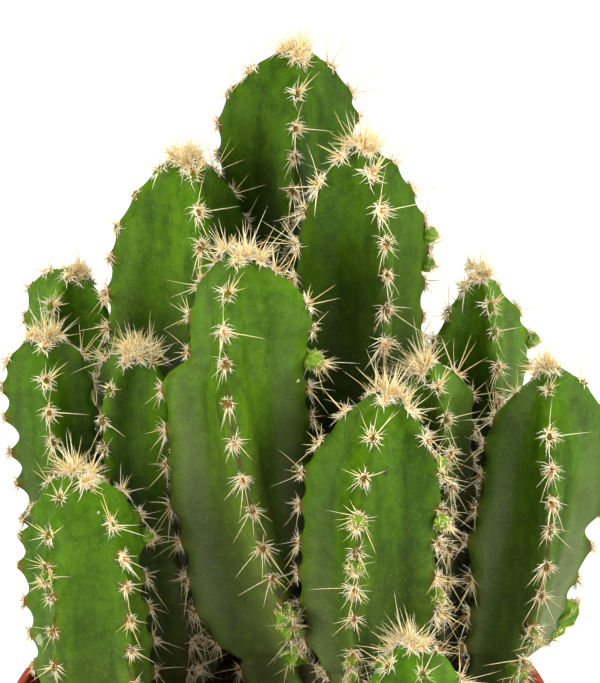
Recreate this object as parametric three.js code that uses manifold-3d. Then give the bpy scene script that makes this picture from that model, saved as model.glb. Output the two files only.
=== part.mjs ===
// A clump of tall, ribbed cactus stems growing in a round plastic pot.
// Millimetres, +Z up. The origin is the middle of the pot's flat underside, and -Y is the front.
import * as THREE from 'three';
import { mergeVertices } from 'three/addons/utils/BufferGeometryUtils.js';
import Module from 'manifold-3d';

const wasm = await Module();
wasm.setup();

// The pot
const POT_HEIGHT = 105;
const LIP_RADIUS = 60;
const LIP_WIDTH = 2.2;
const LIP_DEPTH = 5;
const LIP_ROUNDING = 0.7;
const POT_WALL = 1.4;
const POT_FOOT_RADIUS = 43;
const POT_FOOT_ROUNDING = 2;
const POT_FLOOR = 2;
const DRAIN_HOLES = 6;
const DRAIN_RADIUS = 4;
const DRAIN_CIRCLE = 27;
const ROUND_SEGMENTS = 60;

// The potting mix
const GAP = 0.3;
const SOIL_AT_WALL = POT_HEIGHT - 8;
const SOIL_RISE = 4;
const PLANTING_DEPTH = 12;

// What all stems share: the pitch of the bumps along a rib, and the section's grooves
const RIB_PITCH = 7.5;
const POINTS_PER_RIB = 4;
const GROOVE = { 4: 0.56, 5: 0.64 };
const RIB_SHARPNESS = 2;
const FOOT_WIDTH = 0.55;
const DOME_HEIGHT = 1.45;
const DOME_TAPER = 2.3;
const DOME_ROUNDING = 0.85;
const DOME_RINGS = 4;

// Each stem stands on its foot, passes through its middle and ends at its tip: [x, y, z], with z
// above the pot's rim. Radius is to the ribs' edges. turn and twist, in degrees, set where the first
// rib faces at the foot, from the front towards +X, and how far it winds round up to the tip. neck is
// the narrow length above the soil, and swell the length over which the stem then fills out. dome is
// the length of the domed top, in radii, where it isn't DOME_HEIGHT. One stem has a shoulder, at a
// height above the rim: above it the last rib, on the left, has only this part of its reach.
const STEMS = [
  { name: 'stem_back_tall', foot: [2, 36], middle: [0.5, 42, 68], tip: [3.5, 40, 140],
    radius: 15, ribs: 4, turn: 4, twist: 0, neck: 8, swell: 34, dome: 1.25 },
  { name: 'stem_left_upper', foot: [-20, 24], middle: [-23, 28, 60], tip: [-20, 26, 121.5],
    radius: 16, ribs: 4, turn: 19, twist: 0, neck: 8, swell: 34, dome: 1.75 },
  { name: 'stem_right_upper', foot: [16, 13], middle: [17.3, 16, 60], tip: [17.2, 15, 128],
    radius: 15, ribs: 4, turn: 20, twist: 0, neck: 8, swell: 34, dome: 1.75 },
  { name: 'stem_centre', foot: [6, -3], middle: [-7.8, -9, 60], tip: [-7.4, -6, 111],
    radius: 16, ribs: 4, turn: 46, twist: -66, neck: 24, swell: 28, dome: 0.95,
    shoulder: [83, 0.62] },
  { name: 'stem_front', foot: [19, -13], middle: [20, -21, 52], tip: [23, -18, 85],
    radius: 16, ribs: 5, turn: -14, twist: 0, neck: 24, swell: 26 },
  { name: 'stem_right', foot: [38, -5], middle: [55.5, -3, 46], tip: [57, -2, 84],
    radius: 13.5, ribs: 4, turn: 40, twist: -50, neck: 22, swell: 40, dome: 1.9 },
  { name: 'stem_right_back', foot: [39, 22], middle: [43, 28, 48], tip: [43.5, 25, 93.7],
    radius: 12, ribs: 4, turn: 20, twist: 0, neck: 8, swell: 30, dome: 2.3 },
  { name: 'stem_right_inner', foot: [29, 3], middle: [33.5, 0, 45], tip: [31, 0, 83.5],
    radius: 9, ribs: 4, turn: 20, twist: 0, neck: 8, swell: 20 },
  { name: 'stem_left_inner', foot: [-23, 2], middle: [-30.3, 3, 45], tip: [-30, -1, 87.5],
    radius: 10.8, ribs: 4, turn: -38, twist: 0, neck: 8, swell: 28 },
  { name: 'stem_left_outer', foot: [-38, 3], middle: [-47.5, 3, 50], tip: [-51, 5, 89],
    radius: 9.8, ribs: 4, turn: 4, twist: 0, neck: 36, swell: 30 },
  { name: 'stem_left_back', foot: [-34, 30], middle: [-46, 38, 45], tip: [-45.5, 38, 88.5],
    radius: 9.4, ribs: 4, turn: -25, twist: 0, neck: 8, swell: 26 },
  { name: 'stem_left_front', foot: [-37, -18], middle: [-41, -20, 32], tip: [-43.3, -20, 67.5],
    radius: 14, ribs: 5, turn: -31, twist: 0, neck: 6, swell: 26 },
  { name: 'stem_low_front', foot: [24, -36], middle: [27.5, -41, 16], tip: [27, -42, 38],
    radius: 10.8, ribs: 5, turn: 20, twist: 0, neck: 5, swell: 18 },
  { name: 'stem_low_left', foot: [-12, -35], middle: [-14, -39, 3], tip: [-14, -41, 17],
    radius: 10, ribs: 5, turn: 0, twist: 0, neck: 4, swell: 14 },
  { name: 'stem_low_right', foot: [40, -23], middle: [44, -26, 3], tip: [46, -28, 13],
    radius: 7.5, ribs: 4, turn: 0, twist: 0, neck: 6, swell: 14 },
  { name: 'stem_hidden_back_right', foot: [19, 39], middle: [24, 47, 34], tip: [25, 49, 72],
    radius: 10.5, ribs: 4, turn: 10, twist: 0, neck: 6, swell: 24 },
  { name: 'stem_hidden_back_left', foot: [-16, 42], middle: [-21, 54, 42], tip: [-22, 57, 84],
    radius: 10.5, ribs: 4, turn: 0, twist: 0, neck: 8, swell: 24 },
  { name: 'stem_hidden_far_right', foot: [32, 33], middle: [45, 46, 30], tip: [50, 50, 54],
    radius: 8.5, ribs: 4, turn: 20, twist: 0, neck: 10, swell: 20 },
];
const SHOULDER_LENGTH = 6;

// Young offsets, each growing out of one rib of its mother stem, at a height above the rim
const PUPS = [
  { name: 'pup_centre_upper', mother: 'stem_centre', rib: 0, height: 29, radius: 3.1, length: 6.2 },
  { name: 'pup_centre_lower', mother: 'stem_centre', rib: 0, height: 20, radius: 3.2, length: 6.5 },
  { name: 'pup_right_outer', mother: 'stem_right', rib: 1, height: 26, radius: 3, length: 6.5 },
  { name: 'pup_right_edge', mother: 'stem_right', rib: 1, height: 21, radius: 2.2, length: 5 },
  { name: 'pup_right_upper', mother: 'stem_right', rib: 0, height: 24, radius: 2.4, length: 5 },
  { name: 'pup_right_lower', mother: 'stem_right', rib: 0, height: 15, radius: 2.8, length: 6 },
];
const PUP_RIBS = 5;
const PUP_PITCH = 2;
const PUP_BEDDING = 1.5;
const PUP_RISE = 0.8;

const material = (color, roughness) =>
  new THREE.MeshStandardMaterial({ color, roughness, metalness: 0 });
const potPlastic = material('#a8543c', 0.45);
const peat = material('#2a201a', 0.95);
const youngSkin = material('#6f9a2e', 0.5);
const stemSkin = material('#3f6b2a', 0.55);

const group = new THREE.Group();

function addPiece(name, geometry, pieceMaterial) {
  const mesh = new THREE.Mesh(geometry, pieceMaterial.clone());
  mesh.name = name;
  group.add(mesh);
}

function toSolid(geometry) {
  const bare = geometry.clone();
  bare.deleteAttribute('normal');
  bare.deleteAttribute('uv');
  const merged = mergeVertices(bare, 1e-4);
  return new wasm.Manifold(new wasm.Mesh({
    numProp: 3,
    vertProperties: new Float32Array(merged.attributes.position.array),
    triVerts: new Uint32Array(merged.index.array),
  }));
}

function toGeometry(solid) {
  const mesh = solid.getMesh();
  const geometry = new THREE.BufferGeometry();
  geometry.setAttribute('position', new THREE.BufferAttribute(mesh.vertProperties, 3));
  geometry.setIndex(new THREE.BufferAttribute(mesh.triVerts, 1));
  geometry.computeVertexNormals();
  return geometry;
}

// A turned shape: its profile is given as [radius, height] from the axis at the bottom, out, up and
// back to the axis.
function turned(profile) {
  const points = profile.map(([radius, height]) => new THREE.Vector2(radius, height));
  return new THREE.LatheGeometry(points, ROUND_SEGMENTS).rotateX(Math.PI / 2);
}

// The pot: a straight tapered wall under a narrow rounded lip, and a flat floor with drain holes
const innerRadius = (height) => {
  const top = LIP_RADIUS - LIP_WIDTH;
  const bottom = POT_FOOT_RADIUS - POT_WALL;
  return bottom + (top - bottom) * (height / POT_HEIGHT);
};
const outerRadius = (height) => innerRadius(height) + POT_WALL;

function potGeometry() {
  const underLip = POT_HEIGHT - LIP_DEPTH;
  let pot = toSolid(turned([
    [0, 0],
    [POT_FOOT_RADIUS - POT_FOOT_ROUNDING, 0],
    [outerRadius(POT_FOOT_ROUNDING), POT_FOOT_ROUNDING],
    [outerRadius(underLip), underLip],
    [LIP_RADIUS, underLip + LIP_ROUNDING],
    [LIP_RADIUS, POT_HEIGHT - LIP_ROUNDING],
    [LIP_RADIUS - LIP_ROUNDING, POT_HEIGHT],
    [LIP_RADIUS - LIP_WIDTH + LIP_ROUNDING, POT_HEIGHT],
    [innerRadius(POT_HEIGHT - LIP_ROUNDING), POT_HEIGHT - LIP_ROUNDING],
    [innerRadius(POT_FLOOR), POT_FLOOR],
    [0, POT_FLOOR],
  ]));
  for (let i = 0; i < DRAIN_HOLES; i += 1) {
    const angle = (2 * Math.PI * i) / DRAIN_HOLES;
    const drill = new THREE.CylinderGeometry(DRAIN_RADIUS, DRAIN_RADIUS, 3 * POT_FLOOR, 16);
    drill.rotateX(Math.PI / 2);
    drill.translate(DRAIN_CIRCLE * Math.cos(angle), DRAIN_CIRCLE * Math.sin(angle), POT_FLOOR);
    pot = pot.subtract(toSolid(drill));
  }
  return toGeometry(pot);
}

// The surface of the potting mix: a low mound, highest in the middle
const soilHeight = (x, y) => {
  const out = Math.min(1, Math.hypot(x, y) / innerRadius(SOIL_AT_WALL));
  return SOIL_AT_WALL + SOIL_RISE * (1 - out * out);
};

// The line through the middle of a stem, with the directions in which its ribs are counted
function centreLineOf({ start, middle, end }) {
  const control = middle.clone().multiplyScalar(2);
  control.addScaledVector(start, -0.5).addScaledVector(end, -0.5);
  const curve = new THREE.QuadraticBezierCurve3(start, control, end);
  const frameAt = (along) => {
    const up = curve.getTangentAt(along);
    const front = new THREE.Vector3(0, -1, 0);
    front.addScaledVector(up, -front.dot(up)).normalize();
    return { centre: curve.getPointAt(along), up, front, right: up.clone().cross(front) };
  };
  return { length: curve.getLength(), frameAt };
}

const domeLength = ({ radius, dome = DOME_HEIGHT }) => dome * radius;

// The share of its full radius that a stem has, at a run along it from the foot and at an angle from
// its first rib
function widthAt(stem, length, run, height, fromRib) {
  const { neck, swell, shoulder } = stem;
  const filled = Math.min(1, Math.max(0, (run - neck) / swell));
  let width = FOOT_WIDTH + (1 - FOOT_WIDTH) * Math.sqrt(1 - (1 - filled) ** 2);
  if (shoulder) {
    const [level, part] = shoulder;
    const above = THREE.MathUtils.smoothstep(height - level, 0, SHOULDER_LENGTH);
    width *= 1 - (1 - part) * above * (1 - Math.sin(fromRib)) / 2;
  }
  const below = Math.min(1, (length - run) / domeLength(stem));
  return width * (1 - (1 - below) ** DOME_TAPER) ** DOME_ROUNDING;
}

// A ribbed stem as a row of star-shaped rings along its centre line, closed by a flat foot and a
// domed tip. grow widens it all round, for the hole that it sits in.
function ribbedGeometry(stem, grow, pitch) {
  const { start, end, radius, ribs, turn, twist } = stem;
  const { length, frameAt } = centreLineOf(stem);
  const dome = domeLength(stem);
  const runs = [];
  const straightRings = Math.max(2, Math.round((length - dome) / pitch));
  for (let i = 0; i <= straightRings; i += 1) {
    runs.push(((length - dome) * i) / straightRings);
  }
  for (let i = 1; i < DOME_RINGS; i += 1) {
    runs.push(length - dome * Math.cos((Math.PI / 2) * (i / DOME_RINGS)) ** 2);
  }

  const sides = ribs * POINTS_PER_RIB;
  const positions = [];
  for (const run of runs) {
    const along = run / length;
    const { centre, front, right } = frameAt(along);
    for (let j = 0; j < sides; j += 1) {
      const fromRib = (2 * Math.PI * j) / sides;
      const width = widthAt(stem, length, run, centre.z - POT_HEIGHT, fromRib);
      const crest = ((1 + Math.cos(ribs * fromRib)) / 2) ** RIB_SHARPNESS;
      const reach = radius * width * (GROOVE[ribs] + (1 - GROOVE[ribs]) * crest) + grow;
      const angle = fromRib + THREE.MathUtils.degToRad(turn + twist * along);
      const point = centre.clone();
      point.addScaledVector(front, reach * Math.cos(angle));
      point.addScaledVector(right, reach * Math.sin(angle));
      positions.push(point);
    }
  }
  const footDrop = frameAt(0).up.multiplyScalar(-grow);
  for (let j = 0; j < sides; j += 1) {
    positions[j].add(footDrop);
  }
  const footCentre = positions.length;
  positions.push(start.clone().add(footDrop));
  const tip = positions.length;
  positions.push(end.clone().addScaledVector(frameAt(1).up, grow));

  const triangles = [];
  for (let j = 0; j < sides; j += 1) {
    const next = (j + 1) % sides;
    triangles.push(footCentre, next, j);
    for (let i = 0; i + 1 < runs.length; i += 1) {
      const low = i * sides;
      const high = low + sides;
      triangles.push(low + j, low + next, high + next, low + j, high + next, high + j);
    }
    const last = (runs.length - 1) * sides;
    triangles.push(last + j, last + next, tip);
  }
  const geometry = new THREE.BufferGeometry();
  geometry.setFromPoints(positions);
  geometry.setIndex(triangles);
  geometry.computeVertexNormals();
  return geometry;
}

function stemShape({ foot, middle, tip, neck, ...rest }) {
  const [x, y] = foot;
  return {
    ...rest,
    start: new THREE.Vector3(x, y, soilHeight(x, y) - PLANTING_DEPTH),
    middle: new THREE.Vector3(middle[0], middle[1], POT_HEIGHT + middle[2]),
    end: new THREE.Vector3(tip[0], tip[1], POT_HEIGHT + tip[2]),
    neck: neck + PLANTING_DEPTH,
  };
}

const stemGeometry = (stem, grow) => ribbedGeometry(stemShape(stem), grow, RIB_PITCH);

// A pup: a small ribbed ball that starts just inside its mother's rib and leans out and up, cut
// off where it would enter the mother
function pupGeometry({ mother, rib, height, radius, length }) {
  const stem = STEMS.find(({ name }) => name === mother);
  const shape = stemShape(stem);
  const line = centreLineOf(shape);
  const along = (height + POT_HEIGHT - shape.start.z) / (shape.end.z - shape.start.z);
  const { centre, up, front, right } = line.frameAt(along);
  const fromRib = (2 * Math.PI * rib) / stem.ribs;
  const width = widthAt(shape, line.length, along * line.length, height, fromRib);
  const angle = fromRib + THREE.MathUtils.degToRad(stem.turn + stem.twist * along);
  const outward = front.multiplyScalar(Math.cos(angle)).addScaledVector(right, Math.sin(angle));
  const heading = outward.clone().addScaledVector(up, PUP_RISE).normalize();
  const start = centre.addScaledVector(outward, stem.radius * width - PUP_BEDDING);
  const end = start.clone().addScaledVector(heading, length);
  const middle = start.clone().lerp(end, 0.5);
  const pup = { start, middle, end, radius, ribs: PUP_RIBS, turn: 0, twist: 0, neck: 0,
    swell: length / 2 };
  const solid = toSolid(ribbedGeometry(pup, 0, PUP_PITCH));
  return toGeometry(solid.subtract(toSolid(stemGeometry(stem, GAP))));
}

// The potting mix: it fills the pot, less a hole for the foot of each stem
function soilGeometry() {
  const bottom = POT_FLOOR + GAP;
  const mound = [];
  for (const out of [1, 0.75, 0.5, 0.25, 0]) {
    const radius = out * (innerRadius(SOIL_AT_WALL) - GAP);
    mound.push([radius, soilHeight(radius, 0)]);
  }
  let soil = toSolid(turned([[0, bottom], [innerRadius(bottom) - GAP, bottom], ...mound]));
  for (const stem of STEMS) {
    soil = soil.subtract(toSolid(stemGeometry(stem, GAP)));
  }
  return toGeometry(soil);
}

addPiece('pot', potGeometry(), potPlastic);
addPiece('soil', soilGeometry(), peat);
for (const stem of STEMS) {
  addPiece(stem.name, stemGeometry(stem, 0), stemSkin);
}
for (const pup of PUPS) {
  addPiece(pup.name, pupGeometry(pup), youngSkin);
}

export default group;
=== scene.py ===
"""A clump of tall, ribbed cactus stems in a round plastic pot, in metres, around its frame."""
import math

import bmesh
import bpy
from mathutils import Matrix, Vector


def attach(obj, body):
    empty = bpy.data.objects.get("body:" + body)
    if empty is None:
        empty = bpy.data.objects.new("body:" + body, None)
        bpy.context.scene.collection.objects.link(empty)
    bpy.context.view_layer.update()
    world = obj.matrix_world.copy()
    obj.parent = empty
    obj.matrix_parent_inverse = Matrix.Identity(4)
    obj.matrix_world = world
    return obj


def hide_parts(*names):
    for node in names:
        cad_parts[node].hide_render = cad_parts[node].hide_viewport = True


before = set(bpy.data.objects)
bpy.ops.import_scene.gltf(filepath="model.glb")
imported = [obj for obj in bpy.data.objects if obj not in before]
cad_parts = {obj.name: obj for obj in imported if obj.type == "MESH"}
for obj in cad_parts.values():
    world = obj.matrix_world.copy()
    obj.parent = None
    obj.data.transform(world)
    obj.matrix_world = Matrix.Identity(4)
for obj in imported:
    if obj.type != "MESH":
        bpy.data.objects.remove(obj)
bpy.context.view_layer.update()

# The camera stands a good metre in front of the plant and looks down on it by 24 degrees, through
# a long lens, so that the lens flattens the clump as it does in the photograph.
PHOTO_HEIGHT = 683
FOCAL_PIXELS = 5427.55
LOOKING_DOWN = 24.168
STANDS_AT = (0.0043, -1.05954, 0.66837)


def new_object(name, data):
    """An object in the scene, at the origin."""
    thing = bpy.data.objects.new(name, data)
    bpy.context.collection.objects.link(thing)
    return thing


camera = new_object("camera", bpy.data.cameras.new("camera"))
camera.data.sensor_width = 36
camera.data.lens = FOCAL_PIXELS * camera.data.sensor_width / PHOTO_HEIGHT
camera.data.clip_start, camera.data.clip_end = 0.05, 40
camera.location = STANDS_AT
camera.rotation_euler = (math.radians(90 - LOOKING_DOWN), 0, 0)
bpy.context.scene.camera = camera

# The pot: a thin, straight, tapered wall of injection-moulded plastic, terracotta outside and in,
# with a narrow rolled lip, two faint stacking beads, and a flat floor with six drain holes. Sizes
# in this file are written in millimetres and multiplied by MM.
MM = 0.001
POT_HEIGHT = 105
LIP_RADIUS = 60
LIP_WIDTH = 2.2
LIP_DEPTH = 5
LIP_ROUND = 0.95
LIP_INNER_ROUND = 0.7
LIP_UNDER_ROUND = 0.45
UNDER_LIP = POT_HEIGHT - LIP_DEPTH
POT_WALL = 1.4
POT_FOOT_RADIUS = 43
POT_FOOT_ROUND = 1.6
POT_FLOOR = 2
POT_FLOOR_ROUND = 1.5
UNDERSIDE_HOLLOW = 0.6
DRAIN_HOLES = 6
DRAIN_RADIUS = 4
DRAIN_CIRCLE = 27
DRILL_SEGMENTS = 32
FOOT_RING = 36
BEADS = (14, 88)
BEAD_SHAPE = ((-1.2, 0), (-0.6, 0.25), (0, 0.38), (0.6, 0.25), (1.2, 0))
POT_SEGMENTS = 144
SHARP_ANGLE = 50


def fill(node, fills):
    """Fills a node's inputs with values, or with links from other nodes."""
    for key, value in dict(fills).items():
        value = getattr(value, "socket", value)
        if isinstance(value, bpy.types.Node):
            value = value.outputs[0]
        if isinstance(value, bpy.types.NodeSocket):
            node.id_data.links.new(value, node.inputs[key])
        else:
            node.inputs[key].default_value = value
    return node


def put(tree, kind, fills=(), **settings):
    """Adds a node of this kind, with its settings, and fills its inputs."""
    node = tree.nodes.new(kind)
    for name, value in settings.items():
        setattr(node, name, value)
    return fill(node, fills)


class Reckoned:
    """What one socket gives, a number or a direction, to be reckoned with as if it were known."""

    def __init__(self, source, label=0):
        self.socket = source.outputs[label] if isinstance(source, bpy.types.Node) else source
        self.tree = self.socket.id_data

    def by(self, operation, *others, label=0):
        kind = "ShaderNodeVectorMath" if self.socket.type == "VECTOR" else "ShaderNodeMath"
        node = put(self.tree, kind, enumerate((self, *others)), operation=operation)
        return Reckoned(node, label)

    def __add__(self, other):
        return self.by("ADD", other)

    def __sub__(self, other):
        return self.by("SUBTRACT", other)

    def __rsub__(self, other):
        return Reckoned(put(self.tree, "ShaderNodeMath", {0: other, 1: self}, operation="SUBTRACT"))

    def __mul__(self, other):
        if self.socket.type == "VECTOR":
            return Reckoned(put(self.tree, "ShaderNodeVectorMath", {0: self, "Scale": other},
                                operation="SCALE"))
        return self.by("MULTIPLY", other)

    def __truediv__(self, other):
        return self.by("DIVIDE", other)

    def __pow__(self, other):
        return self.by("POWER", other)

    __radd__, __rmul__ = __add__, __mul__

    def clamped(self):
        return self.by("MAXIMUM", 0.0).by("MINIMUM", 1.0)

    def dot(self, other):
        return self.by("DOT_PRODUCT", other, label="Value")

    def cross(self, other):
        return self.by("CROSS_PRODUCT", other)

    def unit(self):
        return self.by("NORMALIZE")

    def length(self):
        return self.by("LENGTH", label="Value")

    def from_axis(self):
        return self.by("MULTIPLY", (1.0, 1.0, 0.0)).length()

    def part(self, axis):
        return Reckoned(put(self.tree, "ShaderNodeSeparateXYZ", {0: self}), axis)


def vector(tree, x=0.0, y=0.0, z=0.0):
    return Reckoned(put(tree, "ShaderNodeCombineXYZ", {0: x, 1: y, 2: z}))


def ramp(value, start, end, low=0.0, high=1.0):
    """A value that goes softly from low to high while the given one goes from start to end."""
    return Reckoned(put(value.tree, "ShaderNodeMapRange", enumerate((value, start, end, low, high)),
                        interpolation_type="SMOOTHSTEP"))


def noise(place, size, detail=2.0, rough=0.5):
    """Soft random patches of about this size, in metres, from 0 to 1 with 0.5 in the middle."""
    return Reckoned(put(place.tree, "ShaderNodeTexNoise", {
        "Vector": place, "Scale": 1 / size, "Detail": detail, "Roughness": rough}))


def start_tree(name, takes, gives, kind="GeometryNodeTree"):
    """A node tree with named inputs and outputs, its inputs to reckon with, and its output node."""
    tree = bpy.data.node_groups.new(name, kind)
    for way, sockets in (("INPUT", takes), ("OUTPUT", gives)):
        for label, sort in sockets.items():
            tree.interface.new_socket(label, in_out=way, socket_type="NodeSocket" + sort)
    entry = tree.nodes.new("NodeGroupInput")
    taken = {socket.name: Reckoned(socket) for socket in entry.outputs if socket.name}
    return tree, taken, tree.nodes.new("NodeGroupOutput")


def start_material(name):
    """A material with its tree, its shader, and the place on the piece to lay patterns by."""
    material = bpy.data.materials.new(name)
    material.use_nodes = True
    tree = material.node_tree
    return material, tree, tree.nodes["Principled BSDF"], Reckoned(
        put(tree, "ShaderNodeTexCoord"), "Object")


def linear(seen):
    """A colour as a screen shows it, from 0 to 255, made linear; any other is left as it is."""
    if not isinstance(seen, tuple):
        return seen
    return (*((c / 255 / 12.92) if c <= 10 else ((c / 255 + 0.055) / 1.055) ** 2.4
              for c in seen), 1.0)


def layered(base, *layers):
    """A colour with others laid over it in turn, each given as its share and the colour."""
    for share, over in layers:
        base = Reckoned(put(share.tree, "ShaderNodeMix", {
            "Factor": share, 6: linear(base), 7: linear(over)}, data_type="RGBA"), 2)
    return base


def raised(*reliefs):
    """Normals with reliefs laid on each other, each given as its strength, depth and height."""
    under = {}
    for strength, depth, height in reliefs:
        bump = put(height.tree, "ShaderNodeBump", {
            "Strength": strength, "Distance": depth, "Height": height, **under})
        under = {"Normal": bump}
    return bump


def finish_piece(piece, slot, *nodes):
    """The piece rides on the plant's one body and stands for nodes, whose parts it hides; slot is
    not used.
    """
    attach(piece, "root")
    if nodes:
        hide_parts(*nodes)


def as_mesh(name, shape):
    """The mesh of a finished bmesh, with its faces turned outwards."""
    bmesh.ops.recalc_face_normals(shape, faces=shape.faces)
    mesh = bpy.data.meshes.new(name)
    shape.to_mesh(mesh)
    shape.free()
    return mesh


def turned(profile):
    """A closed bmesh turned from [radius, height] pairs that start and end on the axis."""
    shape = bmesh.new()
    rings = []
    for radius, height in profile:
        spots = POT_SEGMENTS if radius > 0 else 1
        rings.append([shape.verts.new((
            radius * MM * math.cos(2 * math.pi * i / POT_SEGMENTS),
            radius * MM * math.sin(2 * math.pi * i / POT_SEGMENTS),
            height * MM)) for i in range(spots)])
    for low, high in zip(rings, rings[1:]):
        for i in range(POT_SEGMENTS):
            corners = [low[i % len(low)], low[(i + 1) % len(low)],
                       high[(i + 1) % len(high)], high[i % len(high)]]
            shape.faces.new(list(dict.fromkeys(corners)))
    return shape


def arc(radius, height, rounding, start, end, steps=5):
    """Points of a rounded edge about a centre, as [radius, height] pairs, between two angles."""
    turns = [math.radians(start + (end - start) * i / steps) for i in range(steps + 1)]
    return [(radius + rounding * math.cos(a), height + rounding * math.sin(a)) for a in turns]


def inner_radius(height):
    top, bottom = LIP_RADIUS - LIP_WIDTH, POT_FOOT_RADIUS - POT_WALL
    return bottom + (top - bottom) * height / POT_HEIGHT


def outer_radius(height):
    return inner_radius(height) + POT_WALL


wall = [(0, UNDERSIDE_HOLLOW), (FOOT_RING - 1, UNDERSIDE_HOLLOW), (FOOT_RING, 0)]
wall += arc(POT_FOOT_RADIUS - POT_FOOT_ROUND, POT_FOOT_ROUND, POT_FOOT_ROUND, -90, -8)
for bead in BEADS:
    wall += [(outer_radius(bead + up) + out, bead + up) for up, out in BEAD_SHAPE]
wall += [(outer_radius(UNDER_LIP - 0.5), UNDER_LIP - 0.5)]
wall += [(outer_radius(UNDER_LIP) + 0.2, UNDER_LIP)]
wall += arc(LIP_RADIUS - LIP_UNDER_ROUND, UNDER_LIP + LIP_UNDER_ROUND, LIP_UNDER_ROUND, -90, 0, 3)
wall += arc(LIP_RADIUS - LIP_ROUND, POT_HEIGHT - LIP_ROUND, LIP_ROUND, 0, 90)
wall += arc(inner_radius(POT_HEIGHT) + LIP_INNER_ROUND, POT_HEIGHT - LIP_INNER_ROUND,
            LIP_INNER_ROUND, 90, 180, 4)
wall += [(inner_radius(h), h) for h in (96, 60, 20)]
wall += arc(inner_radius(POT_FLOOR) - POT_FLOOR_ROUND, POT_FLOOR + POT_FLOOR_ROUND,
            POT_FLOOR_ROUND, 0, -90, 3)
wall += [(0, POT_FLOOR)]

# The plastic has a satin skin with fine turned rings from the mould, a film of dust and lime, and
# scuffs. Its colour is a little uneven, and it has dark brown patches on the inner wall, just below
# the lip.
terracotta, tree, shader, place = start_material("terracotta plastic")
height = place.part("Z")
around = place.part("Y").by("ARCTAN2", place.part("X"))
rings = vector(tree, around * 0.004, 0.0, height)
ring_lines = noise(rings, 0.0007, 3)
clouds = noise(place, 0.02, 4, 0.6)
lime = ramp(noise(place, 0.006, 6, 0.7), 0.56, 0.72) * ramp(clouds, 0.45, 0.62)
scuffs = ramp(noise(rings, 0.0022, 5, 0.75), 0.66, 0.72)
# Dark brown patches on the inner wall, just below the lip
dark_below_lip = ramp(height, 0.092, 0.1005, 1.0, 0.0) * ramp(noise(place, 0.004, 5, 0.6), 0.4, 0.62)
wall_slope = (inner_radius(POT_HEIGHT) - inner_radius(0)) / POT_HEIGHT
from_inner_wall = place.from_axis() - height * wall_slope - inner_radius(0) * MM
inside = ramp(from_inner_wall, 0.8 * MM, 0.4 * MM)
fill(shader, {
    "Base Color": layered(
        (162, 62, 42), (ramp(clouds, 0.3, 0.7), (172, 70, 48)), (lime * 0.3, (196, 150, 128)),
        (scuffs * 0.3, (206, 122, 98)), (dark_below_lip * inside * 0.85, (52, 30, 26))),
    "Roughness": clouds * 0.16 + 0.3 + lime * 0.25 + scuffs * 0.1,
    "Normal": raised((0.35, 0.00012, ring_lines), (0.5, 0.0004, noise(place, 0.012, 1))),
    "Specular IOR Level": 0.45, "Subsurface Weight": 0.08, "Subsurface Scale": 1.0,
    "Subsurface Radius": (0.004, 0.0015, 0.001)})

whole_pot = new_object("pot_whole", as_mesh("pot_whole", turned(wall)))
whole_pot.data.materials.append(terracotta)
drill_shape = bmesh.new()
for i in range(DRAIN_HOLES):
    turn = 2 * math.pi * i / DRAIN_HOLES
    drill = bmesh.ops.create_cone(
        drill_shape, cap_ends=True, segments=DRILL_SEGMENTS, radius1=DRAIN_RADIUS * MM,
        radius2=DRAIN_RADIUS * MM, depth=6 * POT_FLOOR * MM)
    bmesh.ops.translate(drill_shape, verts=drill["verts"], vec=(
        DRAIN_CIRCLE * MM * math.cos(turn), DRAIN_CIRCLE * MM * math.sin(turn), POT_FLOOR * MM))
drills = new_object("drills", as_mesh("drills", drill_shape))
drills.data.materials.append(terracotta)
boring = whole_pot.modifiers.new("drain holes", "BOOLEAN")
boring.object, boring.operation, boring.solver = drills, "DIFFERENCE", "EXACT"
pot = new_object("pot_shell", bpy.data.meshes.new_from_object(
    whole_pot.evaluated_get(bpy.context.evaluated_depsgraph_get())))
for spare in (whole_pot, drills):
    bpy.data.objects.remove(spare)
pot.data.shade_smooth()
pot.data.set_sharp_from_angle(angle=math.radians(SHARP_ANGLE))
finish_piece(pot, "pot_plastic", "pot")

# The potting mix: dark, loose peat with bark and a few grains of white grit, pressed into the pot
# by hand and heaped a little round the stems. Its crumbs lie loose on top.
SOIL_AT_WALL = 97
SOIL_RISE = 4
SOIL_RINGS = 70
SOIL_GAP = 0.3
SOIL_FOOT_INSET = 1.9
CRUMBS_ABOVE = 95.5


def soil_height(x, y):
    out = min(1, math.hypot(x, y) / inner_radius(SOIL_AT_WALL))
    return SOIL_AT_WALL + SOIL_RISE * (1 - out * out)


peat, tree, shader, place = start_material("peat")
grains = noise(place, 0.0016, 6, 0.7)
clods = noise(place, 0.007, 4, 0.6)
fill(shader, {
    "Base Color": layered((26, 18, 13), (ramp(grains, 0.35, 0.68), (78, 56, 38)),
                          (ramp(clods, 0.55, 0.75) * 0.6, (99, 78, 54))),
    "Roughness": grains * 0.15 + 0.8, "Normal": raised((0.9, 0.0008, grains)),
    "Specular IOR Level": 0.2})

grit, tree, shader, place = start_material("white grit")
pores = noise(place, 0.0006, 4, 0.6)
fill(shader, {
    "Base Color": layered((196, 186, 168), (ramp(pores, 0.4, 0.7), (238, 234, 224))),
    "Roughness": pores * 0.2 + 0.65, "Normal": raised((0.6, 0.0003, pores))})

soil_floor = POT_FLOOR + SOIL_GAP
mound = [(0, soil_floor), (inner_radius(POT_FLOOR) - SOIL_FOOT_INSET, soil_floor)]
mound += [(inner_radius(h) - SOIL_GAP, h) for h in (8, 50, 90)]
mound += [(out, soil_height(out, 0)) for out in (
    (inner_radius(SOIL_AT_WALL) - SOIL_GAP) * (1 - i / SOIL_RINGS) for i in range(SOIL_RINGS))]
mound += [(0, soil_height(0, 0))]


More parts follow.
